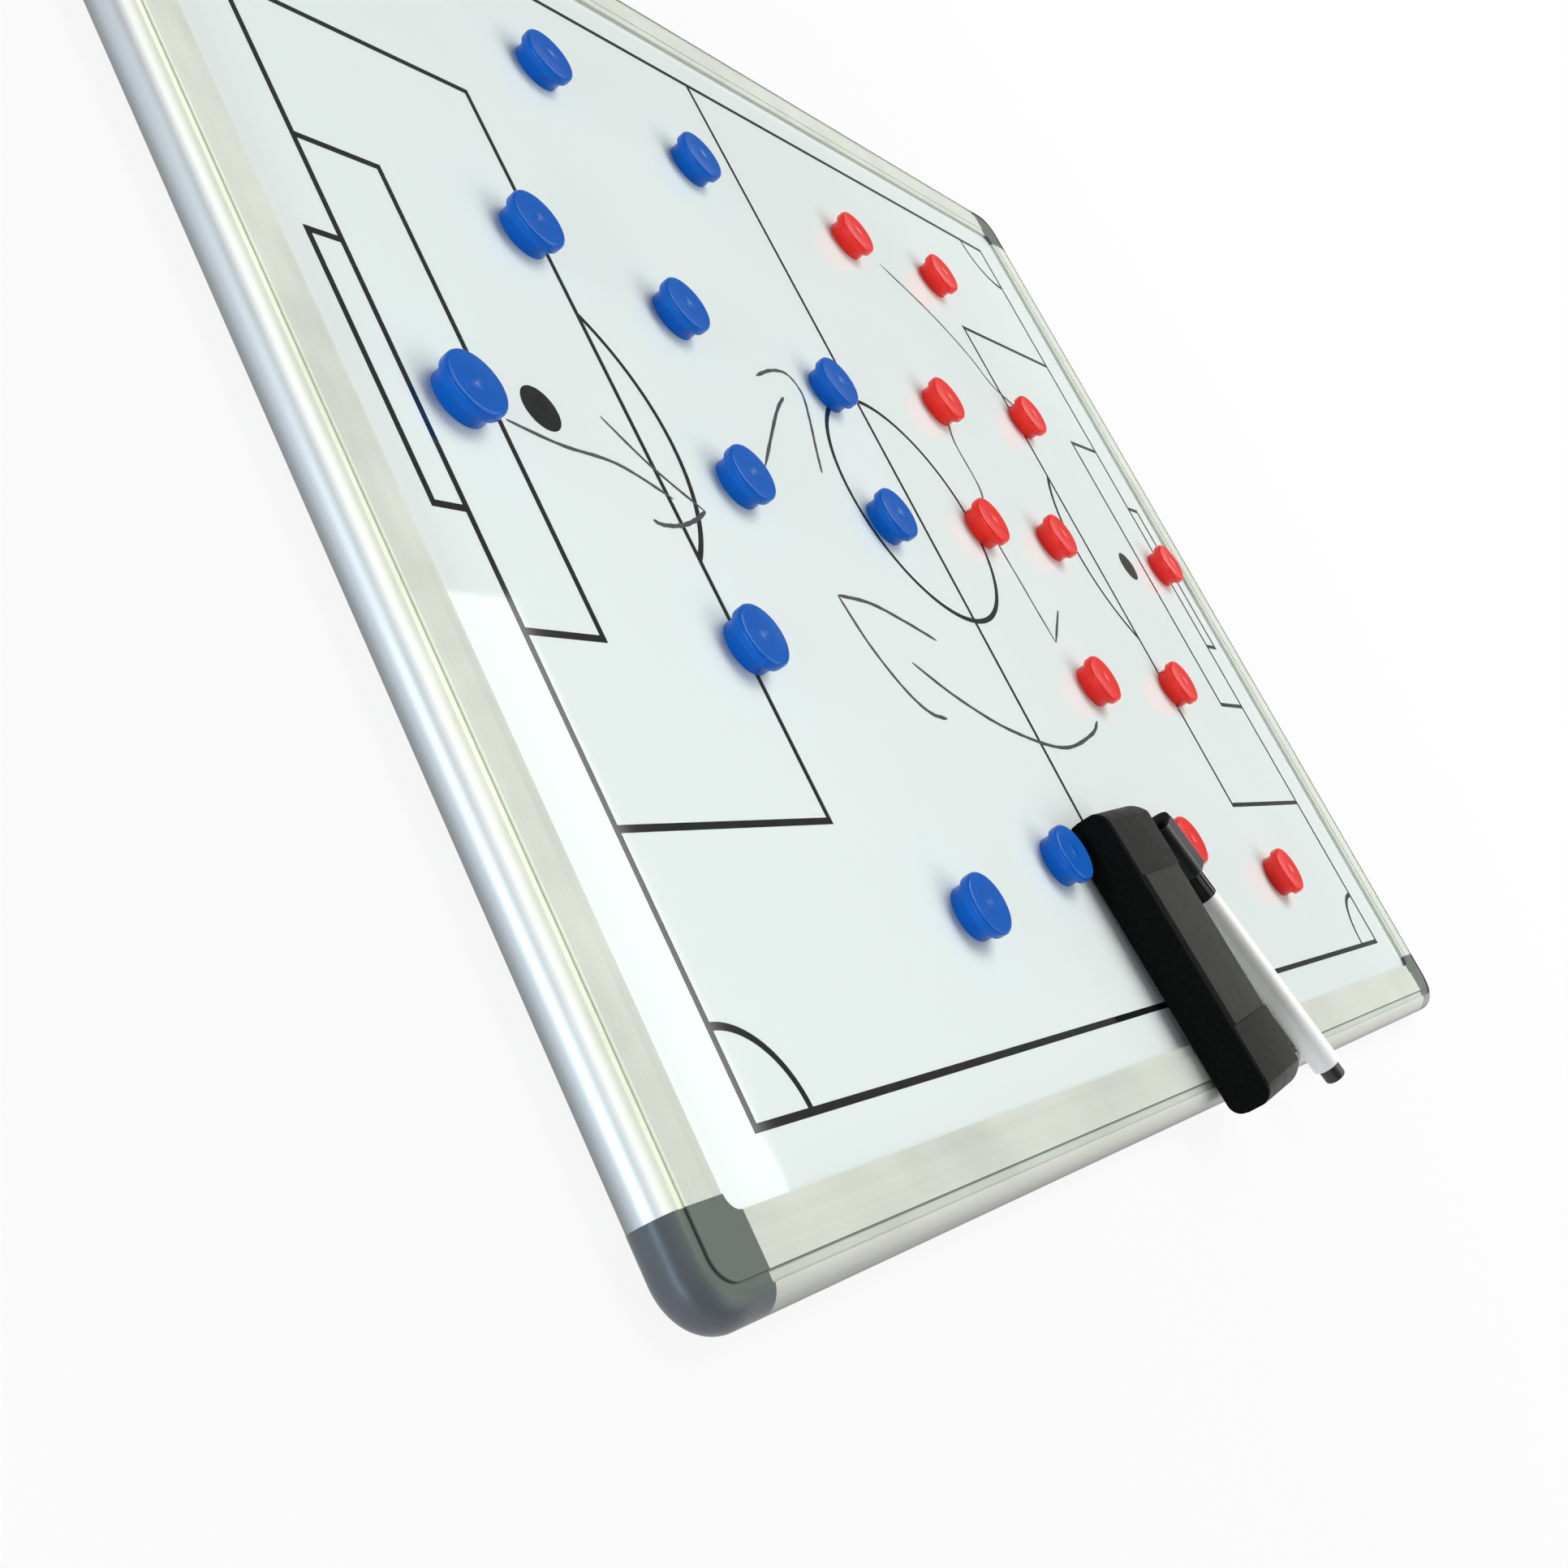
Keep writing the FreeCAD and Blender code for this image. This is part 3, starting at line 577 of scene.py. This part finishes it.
def pitch():
    lines = frame_line(-PITCH_HALF_LENGTH, -PITCH_HALF_WIDTH, PITCH_HALF_LENGTH, PITCH_HALF_WIDTH)
    lines.append(strip([(0, -PITCH_HALF_WIDTH), (0, PITCH_HALF_WIDTH)], 2))
    lines.append(strip(circle(0, 0, CENTRE_CIRCLE, CIRCLE_POINTS), 3, True))
    areas = ((PENALTY_DEPTH, PENALTY_HALF), (GOAL_AREA_DEPTH, GOAL_AREA_HALF), (-GOAL_DEPTH, GOAL_HALF))
    edge_of_area = PITCH_HALF_LENGTH - PENALTY_DEPTH
    swing = math.degrees(math.acos((SPOT_PLACE - edge_of_area) / ARC_RADIUS))
    for side in (-1, 1):
        goal_line = side * PITCH_HALF_LENGTH
        for depth, half in areas:
            far = goal_line - side * depth
            end = far - side * math.copysign(LINE / 2, depth)
            lines.append(strip([(goal_line, -half), (end, -half)], 4))
            lines.append(strip([(goal_line, half), (end, half)], 4))
            lines.append(strip([(far, -half + LINE / 2), (far, half - LINE / 2)], 5))
        middle = 180 if side > 0 else 0
        front = arc(side * SPOT_PLACE, 0, ARC_RADIUS, middle - swing, middle + swing, ARC_STEPS)
        lines.append(strip(front, 6))
        lines.append(disc(side * SPOT_PLACE, 0, SPOT))
        for end in (-1, 1):
            start = CORNER_STARTS[(side, end)]
            corner = arc(goal_line, end * PITCH_HALF_WIDTH, CORNER_ARC, start, start + 90, CORNER_STEPS)
            lines.append(strip(corner, 7))
    stand_for(add_mesh("pitch_lines", *joined(lines), [PRINT]), "board", "white_enamel")


pitch()


# Strokes of a marker, drawn by hand on the sheet: points and width, in millimetres

STROKES = [
    ([(-225, -7), (-206, -11), (-183, -13), (-163, -21)], 1.2),
    ([(-180, 3), (-166, -11), (-149, -23)], 1.2),
    ([(-179, -30), (-175, -31), (-166, -30), (-157, -27), (-149, -23)], 1.4),
    ([(-71, 41), (-58, 46), (-47, 47), (-43, 40), (-48, 28), (-55, 15), (-60, 5)], 1.3),
    ([(-98, 1), (-71, 26), (-59, 35)], 1.3),
    ([(-94, -45), (-75, -46), (-57, -51), (-40, -57)], 1.4),
    ([(-94, -45), (-90, -62), (-82, -77), (-73, -85), (-63, -87)], 1.5),
    ([(-67, -67), (-47, -79), (-19, -90), (18, -96), (51, -90), (64, -84)], 1.4),
    ([(89, 64), (76, 44), (75, 20), (63, 3), (64, -27), (66, -50)], 1.3),
    ([(66, -50), (87, -34)], 1.3),
    ([(103, 137), (131, 120), (150, 103), (161, 87), (184, 76)], 1.3),
]
INK_TOP = 0.05
STROKE_STEPS = 14
# Waves in a stroke's width: share of it, turn from point to point and turn from stroke to stroke
WAVES = [(0.10, 0.9, 1), (0.06, 2.3, 2)]
# A stroke narrows over so many points at its ends, down to the root of a share
TAPER_POINTS = 5
TAPER_LEAST = 0.08


def wobble(place, order):
    """How an unsteady hand widens and narrows a stroke."""
    return 1 + sum(share * math.sin(place * turn + order * shift) for share, turn, shift in WAVES)


def strokes():
    drawn = []
    for order, (points, width) in enumerate(STROKES):
        line = through(points, STROKE_STEPS)
        count = len(line)
        widths = []
        for place in range(count):
            end = min(place, count - 1 - place) / TAPER_POINTS
            taper = math.sqrt(min(1, TAPER_LEAST + end))
            widths.append(width * wobble(place, order) * taper)
        drawn.append(ribbon(line, widths, PRINT_BASE, INK_TOP + LAYER * order))
    stand_for(add_mesh("marker_strokes", *joined(drawn), [MARKER]), "board", "white_enamel")


strokes()


# Counters, in millimetres

CROWN = 9.8
CROWN_BASE = 4.0
CROWN_ROUND = 1.0
STEM = 8.5
HEIGHT = 7.4
DISC = 6.9
DISC_TOP = 3.0
DISC_PLAY = 0.1
DISC_BEVEL = 0.15
DISC_FOOT_BEVEL = 0.2
DISC_LIFT = 0.03
# The dished top (radius, depth), then steps (in or out, up or down) from the crown's base and the stem's foot
DISH = [(0, 0.14), (0.3, 0.15), (0.5, 0.22), (3.5, 0.20), (6.5, 0.12), (8.2, 0.03)]
CROWN_EDGE = [(0, 0.7), (0.12, 0.25), (0.45, 0.02)]
NECK = [(0.5, 0), (0.15, 0.15), (0, 0.5)]
FOOT = [(0, 0.35), (0.1, 0.1), (0.35, 0)]
CROWN_STEPS = 6
SKIN_SEGMENTS = 96
DISC_SEGMENTS = 64


def counter_profile():
    """Outline of a counter from the middle of its top to the recess for its magnet."""
    top = [(radius, HEIGHT - depth) for radius, depth in DISH]
    rim = arc(CROWN - CROWN_ROUND, HEIGHT - CROWN_ROUND, CROWN_ROUND, 90, 0, CROWN_STEPS)
    under = [(CROWN - inward, CROWN_BASE + up) for inward, up in CROWN_EDGE]
    neck = [(STEM + outward, CROWN_BASE - down) for outward, down in NECK]
    foot = [(STEM - inward, up) for inward, up in FOOT]
    recess = [(DISC + DISC_PLAY, 0), (DISC + DISC_PLAY, DISC_TOP), (0, DISC_TOP)]
    return top + rim + under + neck + foot + recess


def magnet_profile():
    """Outline of the magnet, bevelled at its top and more so at its foot."""
    upper = [(0, DISC_TOP), (DISC - DISC_BEVEL, DISC_TOP), (DISC, DISC_TOP - DISC_BEVEL)]
    lower = [(DISC, DISC_FOOT_BEVEL), (DISC - DISC_FOOT_BEVEL, DISC_LIFT), (0, DISC_LIFT)]
    return upper + lower


def turned(profile, segments):
    """An outline in millimetres, from its top down, turned into a closed skin."""
    return lathe([(radius * MM, height * MM) for radius, height in profile[::-1]], segments)


def counters():
    skin = turned(counter_profile(), SKIN_SEGMENTS)
    magnet = turned(magnet_profile(), DISC_SEGMENTS)
    points, faces = joined([skin, magnet])
    slots = [0] * len(skin[1]) + [1] * len(magnet[1])
    for names, slot in ((BLUE, "blue_plastic"), (RED, "red_plastic")):
        finishes = [FINISHES[slot], FINISHES["ferrite"]]
        first = None
        for name in names:
            low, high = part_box(name)
            if first is None:
                piece = add_mesh(f"{name}_moulding", points, faces, finishes, sharp=40, face_slots=slots)
                first = piece.data
            else:
                piece = bpy.data.objects.new(f"{name}_moulding", first)
                bpy.context.scene.collection.objects.link(piece)
            piece.location = ((low.x + high.x) / 2, (low.y + high.y) / 2, low.z)
            stand_for(piece, name.replace("_counter_", "_magnet_counter_"), slot, name)


counters()


# Eraser on its side, in millimetres from the lower front corner of its bottom

ERASER_LENGTH = 103.8
ERASER_DEPTH = 41.2
ERASER_HEIGHT = 15.0
END_ROUND = 4.8
END_FACET = 0.4
BACK_ROUND = 6.5
# Rounds along the shell: two at the felt and, between them, two at the back
SHELL_ROUNDS = (0.25, 0.9, 0.9, 0.25)
SHELL_ROUND_STEPS = 5
# Degrees between stations in a round end
SHELL_TURN = 6
FELT_TURN = 9
GRIP_LOW = 25.0
GRIP_HIGH = 79.0
GRIP_FRONT = 5.6
GRIP_RECESS = 0.5
GRIP_STEP = 0.12
SHELL_STATIONS = [
    12, 18, GRIP_LOW - GRIP_STEP, GRIP_LOW + GRIP_STEP, 40, 52, 64,
    GRIP_HIGH - GRIP_STEP, GRIP_HIGH + GRIP_STEP, 88, 95,
]
FELT_REACH = 2.0
FELT_INSET = 0.3
FELT_END_ROUND = 4.5
FELT_RIM = 0.5
FELT_RIM_STEPS = 5
FELT_ROWS = 22
FELT_COLUMNS = 170
# How far back the felt's fibres stand in the mean, and how far coarse and fine noise moves them.
# Each noise has its scale along, its scale upwards and its layer.
NAP = 0.22
NAP_SWING = 0.10
NAP_NOISES = [(0.11, 0.13, 3.7), (0.9, 0.9, 8.1)]
ERASER_PLACE = (Matrix.Translation((-0.01344, -0.2315, 0.0137185))
                @ Matrix.Rotation(math.radians(-1.1628), 4, "X")
                @ Matrix.Rotation(math.radians(4.5), 4, "Z"))


def drawn_in(along, length, radius, facet=0.0):
    """How far a round, flattened in part to a facet, draws a side in near either end of a length."""
    short = radius - min(along, length - along)
    if short <= 0:
        return 0
    return (1 - facet) * (radius - math.sqrt(max(0, radius ** 2 - short ** 2))) + facet * short


def from_end_to_end(length, ends, middle):
    """Stations along a length from its far end to its near one."""
    return [length - step for step in ends] + middle[::-1] + ends[::-1]


def in_grip(along):
    return GRIP_LOW < along < GRIP_HIGH


def placed(points, place):
    return [place @ (Vector(point) * MM) for point in points]


def eraser_shell():
    ends = sorted(easing(BACK_ROUND, SHELL_TURN) + [END_ROUND])
    stations = from_end_to_end(ERASER_LENGTH, ends, SHELL_STATIONS)
    loops = []
    for along in stations:
        recess = GRIP_RECESS if in_grip(along) else 0
        squeeze = drawn_in(along, ERASER_LENGTH, END_ROUND, END_FACET) + recess
        back = ERASER_DEPTH - drawn_in(along, ERASER_LENGTH, BACK_ROUND)
        front = GRIP_FRONT if in_grip(along) else FELT_REACH
        loop = round_box_loop(front, back, squeeze, ERASER_HEIGHT - squeeze, SHELL_ROUNDS, SHELL_ROUND_STEPS)
        loops.append([(across, along, up) for across, up in loop])
    points, faces = loft(loops)
    slots = [0]
    for near, far in zip(stations, stations[1:]):
        slots += [int(in_grip(near) and in_grip(far))] * len(loops[0])
    slots.append(0)
    finishes = [FINISHES["eraser_plastic"], FINISHES["eraser_grip"]]
    points = placed(points, ERASER_PLACE)
    item = add_mesh("eraser_shell_moulding", points, faces, finishes, sharp=20, face_slots=slots)
    stand_for(item, "eraser", "eraser_plastic", "eraser_shell")


def felt_front(along, up):
    """How far the fibres of the felt stand back from its foremost plane."""
    return NAP + NAP_SWING * sum(
        noise.noise((along * lengthwise, up * upward, layer)) for lengthwise, upward, layer in NAP_NOISES)


def felt_section(low, high, back):
    """Outline (depth, height) of the felt between two heights, with a rounded front."""
    edge = arc(FELT_RIM, FELT_RIM, FELT_RIM, 180, 270, FELT_RIM_STEPS)
    below = [(depth, low + height) for depth, height in edge]
    above = [(depth, high - height) for depth, height in edge[::-1]]
    front = high - low - 2 * FELT_RIM
    down = [(0, high - FELT_RIM - front * row / FELT_ROWS) for row in range(1, FELT_ROWS)]
    return below + [(back, low), (back, high)] + above + down


def eraser_felt():
    length = ERASER_LENGTH - 2 * FELT_INSET
    straight = length - 2 * FELT_END_ROUND
    middle = [FELT_END_ROUND + straight * step / FELT_COLUMNS for step in range(1, FELT_COLUMNS)]
    loops = []
    for reach in from_end_to_end(length, easing(FELT_END_ROUND, FELT_TURN), middle):
        along = FELT_INSET + reach
        squeeze = FELT_INSET + drawn_in(reach, length, FELT_END_ROUND)
        back = GRIP_FRONT if in_grip(along) else FELT_REACH
        section = felt_section(squeeze, ERASER_HEIGHT - squeeze, back)
        loops.append([(x + felt_front(along, z) * max(0, 1 - x), along, z) for x, z in section])
    points, faces = loft(loops)
    points = placed(points, ERASER_PLACE)
    item = add_mesh("eraser_felt_pad", points, faces, [FINISHES["black_felt"]], sharp=50)
    stand_for(item, "eraser", "black_felt", "eraser_felt")


eraser_shell()
eraser_felt()


# Pen, in millimetres along its axis from the far end of its cap's felt

PEN_PLACE = Matrix((
    (0.909961, 0, 0.414693, 0.037632),
    (0.414693, 0, -0.909961, -0.130173),
    (0, 1, 0, 0.0186),
    (0, 0, 0, 1),
))
PAD_LENGTH = 2.5
PAD_HALF_WIDTH = 5.85
PAD_HALF_HEIGHT = 6.65
PAD_ROUND = 2.4
PAD_ROUND_STEPS = 6
# Way along the pad, and how far its sides stand in there
PAD_CROWN = [(0, 1.6), (0.1, 1.1), (0.35, 0.62), (0.75, 0.25), (1.3, 0.06), (1.9, 0), (PAD_LENGTH, 0)]


def pen_pad():
    loops = []
    for along, inset in PAD_CROWN:
        wide, tall = PAD_HALF_WIDTH - inset, PAD_HALF_HEIGHT - inset
        loop = round_box_loop(-wide, wide, -tall, tall, [PAD_ROUND] * 4, PAD_ROUND_STEPS)
        loops.append([(across, up, along) for across, up in loop])
    points, faces = loft(loops)
    points = placed(points, PEN_PLACE)
    item = add_mesh("pen_cap_felt_pad", points, faces, [FINISHES["black_felt"]], sharp=50)
    stand_for(item, "capped_end", "black_felt", "pen_cap_felt")


pen_pad()


# Light, floor and camera, in metres

# Place, aim, width, height, power in watts, colour, and whether it lights or is only mirrored
LAMPS = {
    "overhead_softbox": ((1.643, -0.7175, 2.0), (1.643, -0.7175, 0), 2.365, 4.477, 76.5, (1, 1, 0.99), True),
    "far_softbox": ((2.99, 2.70, 6.45), (0, 0, 0), 4.6, 4.6, 292, (1, 1, 0.99), True),
    "low_window": ((-1.6, -0.25, 0.17), (-0.1, 0, 0.02), 1.8, 0.2, 16.0, (0.84, 0.95, 1.0), True),
    "rear_card": ((-0.62, 0.80, 1.60), (-0.3, -0.05, 0), 1.8, 1.6, 9.4, (1, 1, 0.98), False),
    "low_card": ((1.3, -0.65, 0.22), (0, -0.2, 0.01), 0.9, 0.36, 1.4, (1, 1, 0.98), True),
}
# Heights of a direction with the name of the light there, then how bright those lights are on either side
SKY = [(0.12, "horizon"), (0.26, "between"), (0.62, "between"), (0.85, "overhead")]
NEAR_SKY = {"horizon": 1.0, "between": 0.06, "overhead": 0.20}
FAR_SKY = {"horizon": 1.0, "between": 0.17, "overhead": 0.25}
SIDE_BLEND = 0.4
FLOOR_HALF = 30.0
FLOOR_HEIGHT = -0.0004
FLOOR_GREY = 0.6
# The floor's share of plain white rises from a least value between two distances from the board's middle
FADE_START = 0.35
FADE_END = 1.0
FADE_LEAST = 0.9
LENS = 43.14
SENSOR = 36
NEAR_CLIP = 0.01
CAMERA_PLACE = (-0.58260, -0.23006, 0.22269)
CAMERA_RIGHT = Vector((0.51577, -0.42895, 0.74161))
CAMERA_UP = Vector((0.00271, 0.86645, 0.49926))


def lamp(name, place, aim, wide, tall, power, colour, lights):
    """A softbox, or a card that is only mirrored."""
    light = bpy.data.lights.new(name, "AREA")
    light.shape = "RECTANGLE"
    light.size = wide
    light.size_y = tall
    light.energy = power
    light.color = colour
    item = bpy.data.objects.new(name, light)
    item.location = place
    item.rotation_euler = (Vector(aim) - Vector(place)).to_track_quat("-Z", "Y").to_euler()
    item.visible_camera = False
    item.visible_diffuse = lights
    bpy.context.scene.collection.objects.link(item)


def world():
    """Soft light from overhead, white along the horizon and dim between, most of all on the near side."""
    item = bpy.data.worlds.new("studio")
    bpy.context.scene.world = item
    item.use_nodes = True
    tree = item.node_tree
    direction = split(tree, tree.nodes.new("ShaderNodeTexCoord").outputs["Generated"])
    side = carry(tree, direction["X"], -SIDE_BLEND, SIDE_BLEND, curve="SMOOTHSTEP")
    near = ramp(tree, direction["Z"], [(height, grey(NEAR_SKY[light])) for height, light in SKY])
    far = ramp(tree, direction["Z"], [(height, grey(FAR_SKY[light])) for height, light in SKY])
    tree.links.new(blend(tree, side, near, far), tree.nodes["Background"].inputs["Color"])


def floor():
    """A pale floor that fades to plain white away from the board."""
    material = bpy.data.materials.new("pale_floor")
    material.use_nodes = True
    tree = material.node_tree
    nodes, links = tree.nodes, tree.links
    nodes.remove(nodes["Principled BSDF"])
    paint = nodes.new("ShaderNodeBsdfDiffuse")
    paint.inputs["Color"].default_value = (*grey(FLOOR_GREY), 1)
    glow = nodes.new("ShaderNodeEmission")
    glow.inputs["Strength"].default_value = 1.0
    away = nodes.new("ShaderNodeVectorMath")
    away.operation = "LENGTH"
    links.new(nodes.new("ShaderNodeTexCoord").outputs["Object"], away.inputs[0])
    fade = carry(tree, away.outputs["Value"], FADE_START, FADE_END, FADE_LEAST, 1.0, "SMOOTHSTEP")
    path = nodes.new("ShaderNodeLightPath").outputs
    seen = path["Is Camera Ray"]
    for kind in ("Is Glossy Ray", "Is Transmission Ray"):
        seen = calculate(tree, "MAXIMUM", seen, path[kind])
    surface = nodes.new("ShaderNodeMixShader")
    links.new(calculate(tree, "MULTIPLY", seen, fade), surface.inputs["Fac"])
    links.new(paint.outputs[0], surface.inputs[1])
    links.new(glow.outputs[0], surface.inputs[2])
    links.new(surface.outputs[0], nodes["Material Output"].inputs["Surface"])
    signs = ((-1, -1), (1, -1), (1, 1), (-1, 1))
    corners = [(x * FLOOR_HALF, y * FLOOR_HALF, FLOOR_HEIGHT) for x, y in signs]
    add_mesh("floor", corners, [[0, 1, 2, 3]], [material])


def camera():
    view = bpy.data.cameras.new("camera")
    view.lens = LENS
    view.sensor_width = SENSOR
    view.clip_start = NEAR_CLIP
    item = bpy.data.objects.new("camera", view)
    turn = Matrix((CAMERA_RIGHT, CAMERA_UP, CAMERA_RIGHT.cross(CAMERA_UP))).transposed().to_4x4()
    item.matrix_world = Matrix.Translation(CAMERA_PLACE) @ turn
    bpy.context.scene.collection.objects.link(item)
    bpy.context.scene.camera = item


for name, values in LAMPS.items():
    lamp(name, *values)
world()
floor()
camera()
bpy.context.scene.view_settings.view_transform = "Standard"

bpy.context.view_layer.update()
